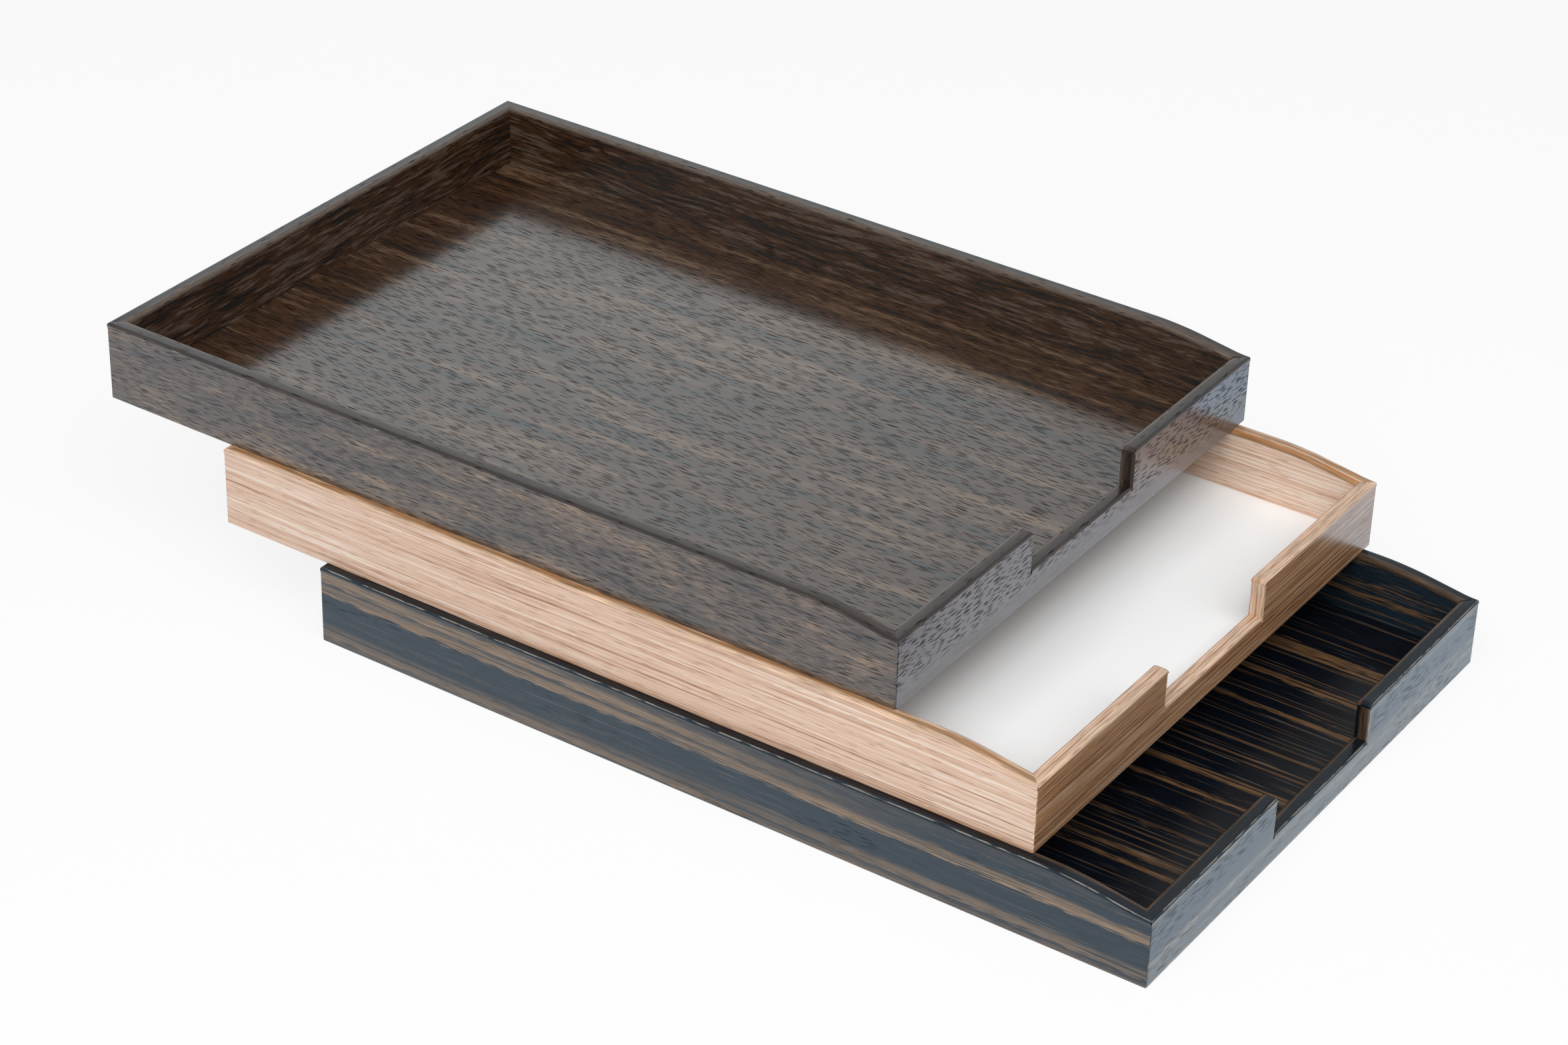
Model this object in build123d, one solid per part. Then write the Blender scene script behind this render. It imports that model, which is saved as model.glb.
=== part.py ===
from build123d import *
import math
import os

# A stack of three veneered letter trays, each set back on the rims of the one below.
# Millimetres, +Z up. The low, notched front faces -Y, and the origin is the middle
# of the bottom tray's underside.

# One tray
tray_width = 250.0
tray_length = 362.0
wall_height = 33.0
wall_thickness = 6.0
front_drop = 4.5
corner_round = 0.8
foot_round = 0.4

# Floor: a base board let into the walls from below, with a facing on top
base_thickness = 6.0
rebate_depth = 3.0
facing_thickness = 1.0

# Lippings that cover the upper edges of the walls
lipping_thickness = 2.0
rim_outer_round = 1.2
rim_inner_round = 1.5

# Slope of the side rims, down to the front corners
slope_run = 28.5
foot_arc_share = 0.12
crest_arc_share = 0.41

# Finger notch in the front wall
notch_width = 71.0
sill_rise = 5.5
notch_band = 1.5
notch_corner_round = 1.8

# Hidden splines in the mitred corners
mitre_angle = 45.0
spline_thickness = 1.2
spline_clearance = 0.05
spline_margin = 1.5
spline_reach_share = 0.36
spline_place_share = 0.55

# Stacking: how far each upper tray stands to the side of and behind the one below
stack_step_side = 3.5
middle_set_back = 49.0
top_set_back = 60.0

# Cuts run past the faces that they open by this much
overrun = 2.0

# A round takes at most this share of the thickness that it is cut into
round_limit_share = 0.8

# A face looks upward when its unit normal has more than this share along Z
upward_share = 0.7

# Levels and half sizes that follow
half_width = tray_width / 2
half_length = tray_length / 2
inner_half_width = half_width - wall_thickness
inner_half_length = half_length - wall_thickness
front_height = wall_height - front_drop
floor_level = base_thickness + facing_thickness
sill_height = floor_level + sill_rise
front_board_top = front_height - lipping_thickness
sill_board_top = sill_height - lipping_thickness
half_notch = notch_width / 2

# The slope's line, and the arcs that ease it into the level rims at both ends
slope_angle = math.atan2(front_drop, slope_run)
slope_length = math.hypot(front_drop, slope_run)
half_turn = math.tan(slope_angle / 2)
foot_tangent = foot_arc_share * slope_length
crest_tangent = crest_arc_share * slope_length
foot_radius = foot_tangent / half_turn
crest_radius = crest_tangent / half_turn
foot_y = -half_length + foot_tangent
crest_y = foot_y + slope_run


def outer_block():
    """Outside of a tray as a block: eased upright corners and an eased lower edge."""
    plan = RectangleRounded(tray_width, tray_length, corner_round)
    block = extrude(plan, amount=wall_height + overrun)
    lower_edges = block.edges().group_by(Axis.Z)[0]
    return fillet(lower_edges, min(foot_round, round_limit_share * corner_round))


def sector(points):
    """Upright prism over a plan outline, past the top and bottom of a tray."""
    outline = Polyline(*points, close=True)
    prism = extrude(make_face(outline), amount=wall_height + 2 * overrun)
    return Pos(0, 0, -overrun) * prism


def left_sector():
    """Plan of the left wall between its two mitres."""
    return sector([
        (-half_width, -half_length),
        (-inner_half_width, -inner_half_length),
        (-inner_half_width, inner_half_length),
        (-half_width, half_length),
    ])


def front_sector():
    """Plan of the front wall between its two mitres."""
    return sector([
        (-half_width, -half_length),
        (half_width, -half_length),
        (inner_half_width, -inner_half_length),
        (-inner_half_width, -inner_half_length),
    ])


def side_rim_line(drop):
    """Side view of the rim, drop below its top: level front corner, slope, level back."""
    shift = drop * half_turn
    return FilletPolyline(
        (0, -half_length - overrun, front_height - drop),
        (0, foot_y + shift, front_height - drop),
        (0, crest_y + shift, wall_height - drop),
        (0, half_length + overrun, wall_height - drop),
        radius=[foot_radius + drop, crest_radius - drop],
    )


def lipping_section(across, deep):
    """Cross-section of a lipping: x from the outer to the inner face, y up, top corners rounded."""
    limit = round_limit_share * deep
    strip = Rectangle(across, deep, align=(Align.MIN, Align.MIN))
    upper = strip.vertices().group_by(Axis.Y)[-1].sort_by(Axis.X)
    strip = fillet(upper[0], min(rim_outer_round, limit))
    upper = strip.vertices().group_by(Axis.X)[-1].sort_by(Axis.Y)
    return fillet(upper[-1], min(rim_inner_round, limit))


def front_lipping(start_x, end_x, top):
    """Level lipping over the front wall from start_x to end_x."""
    plane = Plane(
        (start_x, -half_length, top - lipping_thickness), x_dir=(0, 1, 0), z_dir=(1, 0, 0)
    )
    section = plane * lipping_section(wall_thickness, lipping_thickness)
    return extrude(section, amount=end_x - start_x, dir=(1, 0, 0))


def spline(grow):
    """Upright plate across the front left mitre, grown all round by grow."""
    low = base_thickness + spline_margin
    high = front_board_top - spline_margin
    reach = spline_reach_share * wall_thickness
    place = spline_place_share * wall_thickness
    plate = Box(2 * (reach + grow), spline_thickness + 2 * grow, high - low + 2 * grow)
    centre = Pos(-half_width + place, -half_length + place, (low + high) / 2)
    return centre * Rot(0, 0, -mitre_angle) * plate


def four_corners(piece):
    """The piece at the front left corner, repeated at the other three."""
    right = mirror(piece, about=Plane.YZ)
    return [piece, right, mirror(piece, about=Plane.XZ), mirror(right, about=Plane.XZ)]


def side_wall(block, base, pockets):
    """Left wall board: mitred ends, sloped top, rebate for the base board."""
    line = side_rim_line(lipping_thickness)
    below = Polyline(
        line @ 1,
        (0, half_length + overrun, -overrun),
        (0, -half_length - overrun, -overrun),
        line @ 0,
    )
    silhouette = extrude(make_face(line.edges() + below.edges()), amount=tray_width, both=True)
    return (block & left_sector() & silhouette) - base - pockets


def end_wall(block, base, pockets, top):
    """Front wall board up to top: mitred ends, rebate for the base board."""
    height = top + overrun
    slab = Pos(0, 0, -overrun) * Box(
        tray_width, tray_length, height, align=(Align.CENTER, Align.CENTER, Align.MIN)
    )
    return (block & front_sector() & slab) - base - pockets


def front_wall(block, base, pockets):
    """Front board, cut down to the sill across the finger notch."""
    board = end_wall(block, base, pockets, front_board_top)
    gap = Pos(0, -half_length, sill_board_top) * Box(
        notch_width + 2 * notch_band,
        2 * (wall_thickness + overrun),
        wall_height,
        align=(Align.CENTER, Align.CENTER, Align.MIN),
    )
    return board - gap


def upper_edges(piece):
    """Edges round the upward faces of a side rim, in groups from its outer to its inner face."""
    upward = ShapeList([face for face in piece.faces() if face.normal_at().Z > upward_share])
    return upward.edges().group_by(Axis.X)


def side_rim(block):
    """Left lipping: the band under the rim's line, its two upper edges rounded."""
    upper = side_rim_line(0)
    lower = side_rim_line(lipping_thickness)
    ends = [Line(upper @ 1, lower @ 1), Line(lower @ 0, upper @ 0)]
    outline = make_face(upper.edges() + lower.edges() + ends)
    strip = extrude(outline, amount=tray_width, both=True) & left_sector()
    limit = round_limit_share * lipping_thickness
    strip = fillet(upper_edges(strip)[0], min(rim_outer_round, limit))
    strip = fillet(upper_edges(strip)[-1], min(rim_inner_round, limit))
    return strip & block


def front_rim(block):
    """Left half of the front lipping, its end at the notch rounded off."""
    strip = front_lipping(-half_width - overrun, -half_notch, front_height)
    side_view = Rectangle(half_width, front_height, align=(Align.MAX, Align.MAX))
    corner = side_view.vertices().group_by(Axis.Y)[-1].sort_by(Axis.X)[-1]
    side_view = fillet(corner, min(notch_corner_round, lipping_thickness))
    placed = Plane((-half_notch, 0, front_height), x_dir=(1, 0, 0), z_dir=(0, -1, 0)) * side_view
    return strip & block & front_sector() & extrude(placed, amount=tray_length, both=True)


def notch_end():
    """Upright lipping on the left end of the notch, its two free edges rounded."""
    plane = Plane(
        (-half_notch - notch_band, -half_length, sill_board_top), x_dir=(0, 1, 0), z_dir=(0, 0, -1)
    )
    section = plane * lipping_section(wall_thickness, notch_band)
    return extrude(section, amount=front_board_top - sill_board_top, dir=(0, 0, 1))


def tray_pieces():
    """Every piece of one tray, by name, in the tray's own frame."""
    block = outer_block()
    base = Box(
        2 * (inner_half_width + rebate_depth),
        2 * (inner_half_length + rebate_depth),
        base_thickness,
        align=(Align.CENTER, Align.CENTER, Align.MIN),
    )
    facing = Pos(0, 0, base_thickness) * Box(
        2 * inner_half_width,
        2 * inner_half_length,
        facing_thickness,
        align=(Align.CENTER, Align.CENTER, Align.MIN),
    )
    pockets = four_corners(spline(spline_clearance))
    left_wall = side_wall(block, base, pockets)
    left_rim = side_rim(block)
    front_rim_left = front_rim(block)
    notch_end_left = notch_end()
    back_wall = end_wall(block, base, pockets, wall_height - lipping_thickness)
    back_rim = front_lipping(-half_width, half_width, wall_height) & block & front_sector()
    return {
        "base_board": base,
        "floor_facing": facing,
        "left_wall": left_wall,
        "right_wall": mirror(left_wall, about=Plane.YZ),
        "back_wall": mirror(back_wall, about=Plane.XZ),
        "front_wall": front_wall(block, base, pockets),
        "left_rim": left_rim,
        "right_rim": mirror(left_rim, about=Plane.YZ),
        "back_rim": mirror(back_rim, about=Plane.XZ),
        "front_rim_left": front_rim_left,
        "front_rim_right": mirror(front_rim_left, about=Plane.YZ),
        "sill_rim": front_lipping(-half_notch, half_notch, sill_height),
        "notch_end_left": notch_end_left,
        "notch_end_right": mirror(notch_end_left, about=Plane.YZ),
        "corner_splines": Compound(children=four_corners(spline(0))),
    }


# Where each tray stands, from the bottom of the stack up
tray_places = {
    "bottom": Pos(0, 0, 0),
    "middle": Pos(stack_step_side, middle_set_back, wall_height),
    "top": Pos(2 * stack_step_side, middle_set_back + top_set_back, 2 * wall_height),
}

os.makedirs("parts", exist_ok=True)
pieces = tray_pieces()
for tray, place in tray_places.items():
    for name, piece in pieces.items():
        export_step(place * piece, f"parts/{tray}_{name}.step")
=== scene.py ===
"""Looks of a stack of three veneered letter trays: lippings, veneers and a plain studio stage."""
import math

import bpy
import numpy as np
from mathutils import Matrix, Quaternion, Vector


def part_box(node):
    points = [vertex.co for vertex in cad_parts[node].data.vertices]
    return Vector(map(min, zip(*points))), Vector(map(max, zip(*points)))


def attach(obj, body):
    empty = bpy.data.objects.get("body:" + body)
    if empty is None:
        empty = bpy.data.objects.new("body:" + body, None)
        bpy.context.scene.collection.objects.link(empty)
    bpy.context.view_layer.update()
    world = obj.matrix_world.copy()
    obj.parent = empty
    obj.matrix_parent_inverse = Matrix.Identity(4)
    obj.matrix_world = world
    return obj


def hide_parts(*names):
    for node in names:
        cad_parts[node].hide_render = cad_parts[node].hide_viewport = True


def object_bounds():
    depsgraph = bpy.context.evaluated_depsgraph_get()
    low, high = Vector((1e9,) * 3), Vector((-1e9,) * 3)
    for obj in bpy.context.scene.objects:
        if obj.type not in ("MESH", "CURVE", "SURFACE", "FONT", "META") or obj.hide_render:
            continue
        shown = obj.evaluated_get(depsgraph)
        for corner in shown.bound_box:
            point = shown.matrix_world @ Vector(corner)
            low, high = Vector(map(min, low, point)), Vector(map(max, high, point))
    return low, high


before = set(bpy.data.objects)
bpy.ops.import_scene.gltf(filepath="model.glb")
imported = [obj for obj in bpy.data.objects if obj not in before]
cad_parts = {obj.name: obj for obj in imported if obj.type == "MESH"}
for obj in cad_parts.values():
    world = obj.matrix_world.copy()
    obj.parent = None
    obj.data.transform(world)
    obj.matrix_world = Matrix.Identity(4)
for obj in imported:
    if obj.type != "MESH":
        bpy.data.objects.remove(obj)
cad_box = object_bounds()

bl_info = {
    "name": "Stackable letter trays",
    "version": (1, 0, 0),
    "blender": (4, 5, 0),
    "location": "View3D > Sidebar > Letter trays",
    "description": "Dresses a stack of three letter trays in lacquered veneers",
    "category": "Object",
}

# Metres in a millimetre: sizes below are written in millimetres and used in metres
MM = 0.001
TRAYS = ("bottom", "middle", "top")

# Axes of the shared frame, by number
X, Y, Z = range(3)

# Turns that lay a pattern's own X axis, the grain, along an axis of the frame
GRAIN_TURNS = {
    X: (0.0, 0.0, 0.0),
    Y: (0.0, 0.0, -math.pi / 2),
    Z: (0.0, math.pi / 2, 0.0),
}


def linear(code):
    """Linear RGB of an sRGB hex colour such as "#40352d"."""
    values = np.array([int(code[i : i + 2], 16) for i in (1, 3, 5)]) / 255
    curve = np.where(values <= 0.04045, values / 12.92, ((values + 0.055) / 1.055) ** 2.4)
    return tuple(float(value) for value in curve)


def colour(name, description, code):
    """A colour that a user can change, from its sRGB hex code."""
    return bpy.props.FloatVectorProperty(
        name=name, description=description, subtype="COLOR", min=0.0, max=1.0, default=linear(code)
    )


def length(name, description, millimetres):
    """A length that a user can change, from its default in millimetres."""
    return bpy.props.FloatProperty(
        name=name,
        description=description,
        subtype="DISTANCE",
        unit="LENGTH",
        min=0.0,
        precision=5,
        default=millimetres * MM,
    )


def share(name, description, value):
    """A plain number from 0 to 1 that a user can change."""
    return bpy.props.FloatProperty(
        name=name, description=description, subtype="FACTOR", min=0.0, max=1.0, default=value
    )


class LippingSettings(bpy.types.PropertyGroup):
    """Shape of the solid lippings on the upper edges of the walls."""

    outer_round: length("Outer round", "Radius of the upper edge outside", 1.2)
    inner_round: length("Inner round", "Radius of the upper edge inside", 1.5)
    notch_round: length("Notch round", "Radius of the front rim's end at the finger notch", 1.8)
    mitre_ease: length("Mitre ease", "Depth to which the mitred ends are sanded off", 0.03)
    slope_run: length("Slope run", "Length of the side rim's slope, seen from above", 28.5)
    foot_share: share("Foot arc", "Share of the slope taken by half of its lower arc", 0.12)
    crest_share: share("Crest arc", "Share of the slope taken by half of its upper arc", 0.41)
    round_limit: share("Round limit", "Most of a lipping's depth that a round may take", 0.8)


class WengeSettings(bpy.types.PropertyGroup):
    """Dark brown, open-pored veneer of the top tray."""

    dark: colour("Dark bands", "Late wood, almost black", "#221c19")
    brown: colour("Brown", "Ground of the left wall, streaks of the other walls", "#584a3f")
    tan: colour("Tan streaks", "Palest streaks of the left wall", "#806953")
    floor_brown: colour("Floor brown", "Ground of the floor and of the right and back walls", "#402a1a")
    floor_tan: colour("Floor tan", "Palest streaks of the floor", "#66503d")
    # Painted sheen: the front board's ground is lighter and bluer than the wood, standing in for the white
    # floor mirrored in its lacquer
    painted_sheen_ground: colour("Haze", "Ground of the front board, hazed by the lacquer", "#4b4a58")
    pore: colour("Pores", "Open pores, cut lengthwise", "#120c0a")
    filler: colour("Filler", "Specks of filler along the lipping's outer seam", "#a49c92")
    rim: colour("Lipping", "Solid strip on the upper edges", "#261c18")
    # Paler at the outer edge; towards the inside of the top this paler colour is a painted highlight
    rim_edge: colour("Lipping edges", "Its outer edge and the inside of its top, sanded paler", "#3d312b")
    lacquer: share("Lacquer roughness", "Roughness of the satin lacquer", 0.2)


class PaleSettings(bpy.types.PropertyGroup):
    """Pale, fine-striped veneer of the middle tray."""

    pale: colour("Pale stripes", "Lightest lines", "#ead6c4")
    ground: colour("Ground", "Mean colour between the lines", "#d6b196")
    line: colour("Dark lines", "Fine brown lines along the grain", "#a06d45")
    # Front ground: browner than the sides, and darkened further as painted shade on the front and back
    # boards
    shaded_end_ground: colour("Front ground", "Mean colour of the front and back boards", "#ab8059")
    end_line: colour("Front lines", "Brown lines on the front and back boards, and all flecks", "#744d31")
    rim: colour("Lipping", "Brown heart of the strip on the side walls", "#a37c56")
    rim_edge: colour("Lipping edges", "Its paler edges, the front wall's strip and palest lines", "#c8a98f")
    glue: colour("Glue line", "Thin orange line between layers of the lipping", "#b0682c")
    lacquer: share("Lacquer roughness", "Roughness of the satin lacquer", 0.22)


class EbonySettings(bpy.types.PropertyGroup):
    """Blue-black veneer of the bottom tray, with brown stripes."""

    ground: colour("Ground", "Blue-black heartwood", "#0d1118")
    # Painted sheen: the walls' ground is a lighter, bluer copy of the blue-black ground, standing in for
    # the reflection in their lacquer
    painted_sheen_slate: colour("Slate", "Ground of the walls, hazed by the lacquer", "#1d2932")
    stripe: colour("Stripes", "Brown stripes of the left wall", "#866e55")
    inner_stripe: colour("Inner stripes", "Stripes of the floor and of the right and back walls", "#654b33")
    streak: colour("Streaks", "Stripes of the front wall, and thin pale streaks", "#857a6a")
    pale: colour("Pale dashes", "Torn grain on the front wall, filled with dust", "#c9c0b4")
    rim: colour("Lipping", "Brown inner half of the strip on the upper edges", "#47382b")
    worn: colour("Worn edge", "Pale line where the rim's outer edge is worn", "#8a837a")
    lacquer: share("Lacquer roughness", "Roughness of the satin lacquer", 0.2)


class BoardSettings(bpy.types.PropertyGroup):
    """Floor laminate, undersides and hidden splines."""

    laminate: colour("White laminate", "Floor of the middle tray", "#fcfcfc")
    backing: colour("Backing", "Backing veneer on the undersides", "#5b4a3c")
    ply_pale: colour("Pale ply", "Face plies of the hidden splines", "#cbb088")
    ply_dark: colour("Dark ply", "Cross plies of the hidden splines", "#a88a62")
    ply: length("Ply", "Thickness of a ply", 0.4)


class StageSettings(bpy.types.PropertyGroup):
    """Floor, light and camera."""

    floor: colour("Floor", "Plain studio floor", "#f4f4f4")
    daylight: colour("Daylight", "Tint of the floor where it is mirrored, a little cool", "#ddebf8")
    sky: colour("Sky", "Tint of the surroundings where they are mirrored", "#f4fcff")
    floor_side: length("Floor side", "Side of the square floor", 9000.0)
    lens: length("Lens", "Focal length of the camera, on a 36 mm sensor", 90.34)


SETTINGS = {
    "tray_lipping": LippingSettings,
    "tray_wenge": WengeSettings,
    "tray_pale": PaleSettings,
    "tray_ebony": EbonySettings,
    "tray_board": BoardSettings,
    "tray_stage": StageSettings,
}


# Materials

# Refractive index of lacquer, laminate and wood
IOR = 1.5

# Parts of a tray that are lippings
RIMS = ("side_rim", "end_rim", "notch_rim")

# Sockets whose names repeat are given by number. A Mix node takes its factor at 0, two numbers at 2
# and 3 and two colours at 6 and 7, and gives the mixed number at 0 and the mixed colour at 2.


def add(tree, kind, inputs=None, stops=None, **settings):
    """Adds a node, sets its properties and colour stops, and sets or links each input named."""
    node = tree.nodes.new("ShaderNode" + kind)
    for key, value in settings.items():
        setattr(node, key, value)
    for key, value in (inputs or {}).items():
        socket = node.inputs[key]
        if isinstance(value, bpy.types.NodeSocket):
            tree.links.new(value, socket)
        else:
            socket.default_value = (*value, 1.0) if socket.type == "RGBA" else value
    for place, (position, shade) in enumerate(stops or []):
        elements = node.color_ramp.elements
        stop = elements[place] if place < len(elements) else elements.new(position)
        stop.position, stop.color = position, (*shade, 1.0)
    return node


def new_material(name):
    """An empty material with nodes."""
    material = bpy.data.materials.new(name)
    material.use_nodes = True
    material.node_tree.nodes.clear()
    return material


def grain_space(tree, grain, shift):
    """Pattern space in metres with X along the grain: the frame turned, or a lipping's UV map."""
    place = add(tree, "TexCoord")
    source = place.outputs["UV" if grain is None else "Object"]
    turn = GRAIN_TURNS[X if grain is None else grain]
    moved = {"Vector": source, "Rotation": turn, "Location": tuple(step * MM for step in shift)}
    return add(tree, "Mapping", moved).outputs["Vector"]


def streaks(tree, space, along, across, detail):
    """Soft streaks along the grain, around 0.5, about half as large as those millimetres."""
    scale = (1 / (along * MM), 1 / (across * MM), 1 / (across * MM))
    stretched = add(tree, "Mapping", {"Vector": space, "Scale": scale}).outputs["Vector"]
    return add(tree, "TexNoise", {"Vector": stretched, "Scale": 1.0, "Detail": detail}).outputs["Fac"]


def cut_streaks(tree, space, cells, levels, most=1.0, easing="LINEAR"):
    """Streaks with an edge: 0 where they are below the first level, most where above the second."""
    low, high = levels
    edge = {"Value": streaks(tree, space, *cells), "From Min": low, "From Max": high, "To Max": most}
    return add(tree, "MapRange", edge, interpolation_type=easing).outputs[0]


# Least and most of a dash's size, and where its soft edge ends and starts, as shares
DASH_SIZES = (0.5, 1.5)
DASH_EDGE = (1.1, 0.6)


def dashes(tree, space, along, across, size):
    """Slender dashes along the grain, one to a cell of those millimetres: 1 inside, 0 outside.

    Each is an ellipse round a scattered point. Half its length is size times the cell's, give or
    take a half. The two ways across are added, so a board's face shows whole dashes either way up.
    """
    place = add(tree, "SeparateXYZ", {"Vector": space})
    side = add(tree, "Math", {0: place.outputs["Y"], 1: place.outputs["Z"]}, operation="ADD").outputs[0]
    flat = add(tree, "CombineXYZ", {"X": place.outputs["X"], "Y": side}).outputs[0]
    scale = (1 / (along * MM), 1 / (across * MM), 1.0)
    stretched = add(tree, "Mapping", {"Vector": flat, "Scale": scale}).outputs["Vector"]
    cells = add(tree, "TexVoronoi", {"Vector": stretched, "Scale": 1.0}, voronoi_dimensions="2D")
    least, most = (limit * size for limit in DASH_SIZES)
    sizes = {"Value": cells.outputs["Color"], "To Min": least, "To Max": most}
    reach = add(tree, "MapRange", sizes).outputs[0]
    away = add(tree, "Math", {0: cells.outputs["Distance"], 1: reach}, operation="DIVIDE").outputs[0]
    outside, inside = DASH_EDGE
    edge = {"Value": away, "From Min": outside, "From Max": inside}
    return add(tree, "MapRange", edge, interpolation_type="SMOOTHSTEP").outputs[0]


def swayed(tree, space, along, across, sway):
    """The space with its grain swayed sideways by up to sway, over cells of that size in millimetres.

    The way is noise less a half, which is doubled to run from -1 to 1.
    """
    scale = (1 / (along * MM), 1 / (across * MM), 1 / (across * MM))
    stretched = add(tree, "Mapping", {"Vector": space, "Scale": scale}).outputs["Vector"]
    drift = add(tree, "TexNoise", {"Vector": stretched, "Scale": 1.0, "Detail": 1.0}).outputs["Color"]
    centred = add(tree, "VectorMath", {0: drift, 1: (0.5, 0.5, 0.5)}, operation="SUBTRACT").outputs[0]
    reach = (0.0, 2 * sway * MM, 2 * sway * MM)
    sized = add(tree, "VectorMath", {0: centred, 1: reach}, operation="MULTIPLY").outputs[0]
    return add(tree, "VectorMath", {0: space, 1: sized}, operation="ADD").outputs[0]


# Cells and detail of the pattern that breaks a worn line, how softly it does so, and the share of
# the line's half width over which it is full
WEAR_CELLS = (9.0, 0.9, 2.0)
WEAR_SOFTNESS = 0.06
LINE_CORE = 0.4


def edge_line(tree, base, shade, way, width, gaps):
    """A thin line drawn on a lipping's colour, that way round its section from the outer seam.

    Sanding and handling wear a lipping's edges, so the line is broken: it shows where a pattern
    along the edge is above gaps. The width is half the line's. Both lengths are in millimetres.
    """
    uv = add(tree, "TexCoord").outputs["UV"]
    around = add(tree, "SeparateXYZ", {"Vector": uv}).outputs["Y"]
    offset = add(tree, "Math", {0: around, 1: way * MM}, operation="SUBTRACT").outputs[0]
    off = add(tree, "Math", {0: offset}, operation="ABSOLUTE").outputs[0]
    edge = {"Value": off, "From Min": width * MM, "From Max": LINE_CORE * width * MM}
    near = add(tree, "MapRange", edge).outputs[0]
    kept = cut_streaks(tree, uv, WEAR_CELLS, (gaps, gaps + WEAR_SOFTNESS))
    drawn = add(tree, "Math", {0: near, 1: kept}, operation="MULTIPLY").outputs[0]
    return add(tree, "Mix", {0: drawn, 6: base, 7: shade}, data_type="RGBA").outputs[2]


# Lacquer: the share of its film that an open pore breaks, the shader's level for a full inner layer,
# how much rougher that layer is, and the strength and depth in millimetres of the relief below it
PORE_BREAK = 0.85
INNER_LEVEL = 0.5
INNER_ROUGHNESS = 0.04
RELIEF_STRENGTH = 0.4
RELIEF_DEPTH = 0.08


def lacquered(material, base, pores, relief, roughness, film):
    """Satin lacquer over veneer: two glossy layers, which an open pore mostly breaks."""
    tree = material.node_tree
    broken = {0: pores, 1: -PORE_BREAK * film, 2: film}
    coat = add(tree, "Math", broken, operation="MULTIPLY_ADD").outputs[0]
    shine = add(tree, "Math", {0: coat, 1: INNER_LEVEL}, operation="MULTIPLY").outputs[0]
    bump = add(tree, "Bump", {"Height": relief, "Strength": RELIEF_STRENGTH, "Distance": RELIEF_DEPTH * MM})
    surface = {
        "Base Color": base,
        "Roughness": roughness + INNER_ROUGHNESS,
        "IOR": IOR,
        "Specular IOR Level": shine,
        "Normal": bump.outputs["Normal"],
        "Coat Weight": coat,
        "Coat Roughness": roughness,
        "Coat IOR": IOR,
    }
    shader = add(tree, "BsdfPrincipled", surface)
    add(tree, "OutputMaterial", {"Surface": shader.outputs[0]})
    return material


# A lipping's bands are read over this stretch round its section, in millimetres, and stray over
# cells of this size and detail
RIM_LOW, RIM_HIGH = -1.0, 9.0
RIM_DRIFT = (40, 5, 3.0)


def rim_bands(tree, look, bands, wander):
    """Bands of colour along a solid lipping: millimetres from the outer seam, and a setting's name.

    The strip is sawn from striped wood a little askew, so its bands stray by about a fifth of wander.
    """
    uv = add(tree, "TexCoord").outputs["UV"]
    around = add(tree, "SeparateXYZ", {"Vector": uv}).outputs["Y"]
    drift = streaks(tree, uv, *RIM_DRIFT)
    strayed = {0: drift, 1: wander * MM, 2: around}
    place = add(tree, "Math", strayed, operation="MULTIPLY_ADD").outputs[0]
    low, high = (limit + wander / 2 for limit in (RIM_LOW, RIM_HIGH))
    span = {"Value": place, "From Min": low * MM, "From Max": high * MM}
    way = add(tree, "MapRange", span).outputs[0]
    stops = [((mm - RIM_LOW) / (RIM_HIGH - RIM_LOW), getattr(look, name)) for mm, name in bands]
    return add(tree, "ValToRGB", {"Fac": way}, stops=stops).outputs["Color"]


# How deeply the fibres shade a board, its brown stripes and a lipping
BOARD_GRAIN, STRIPE_GRAIN, RIM_GRAIN = 1.0, 0.8, 1.2


def grained(tree, base, fibres, depth):
    """The colour made darker and lighter along the fibres, by about a fifth of depth."""
    tone = {"Value": fibres, "To Min": 1 - depth, "To Max": 1 + depth}
    shade = add(tree, "MapRange", tone).outputs[0]
    blend = {0: 1.0, 6: base, 7: shade}
    return add(tree, "Mix", blend, data_type="RGBA", blend_type="MULTIPLY").outputs[2]


def veneer(name, kind, sway, fibre_cells):
    """An empty material for a veneer, the pattern space of its swayed grain, and its fibres."""
    material = new_material(name)
    tree = material.node_tree
    space = swayed(tree, grain_space(tree, kind["grain"], kind["shift"]), *sway)
    return material, space, streaks(tree, space, *fibre_cells)


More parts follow.
